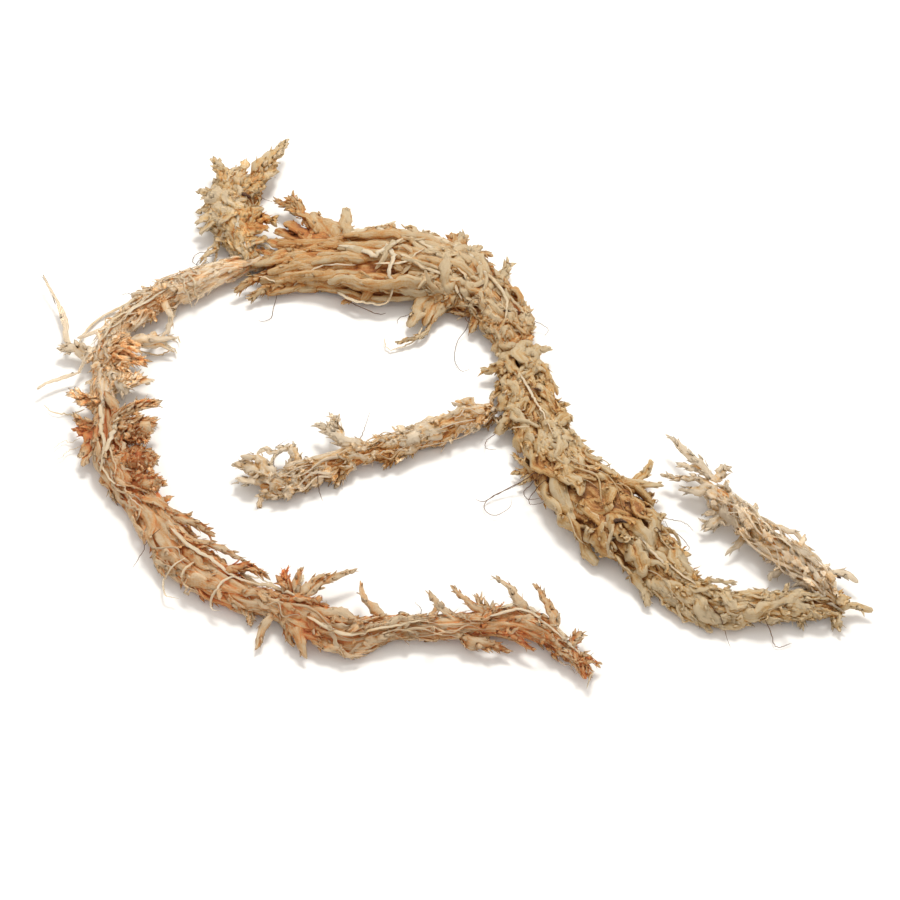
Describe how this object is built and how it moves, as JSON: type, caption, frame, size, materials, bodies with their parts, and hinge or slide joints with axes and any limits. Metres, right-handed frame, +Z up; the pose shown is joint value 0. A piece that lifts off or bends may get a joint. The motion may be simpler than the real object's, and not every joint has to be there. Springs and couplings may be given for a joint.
{
  "type": "sphagnum moss clump",
  "caption": "Open loop of tangled, dried long-fibred sphagnum moss shoots with scaly branches and leafy tufts, lying flat on a surface.",
  "frame": {"origin": "on the surface that the clump lies on, under the middle of its footprint", "axes": "+Z up from the surface, +X along the clump's longest extent towards the thin joined ends of the east and tail shoots, +Y towards the crown's tuft"},
  "size_m": [0.185, 0.1612, 0.0091],
  "materials": {
    "straw_moss": "dry, papery, matt straw-coloured leaves",
    "rust_moss": "dry, papery, matt leaves flushed rust and orange"
  },
  "bodies": {
    "root": {"crown_shoot": "straw_moss", "north_shoot": "straw_moss", "west_shoot": "rust_moss", "south_shoot": "rust_moss", "inner_shoot": "straw_moss", "east_shoot": "straw_moss", "tail_shoot": "straw_moss"}
  },
  "joints": []
}
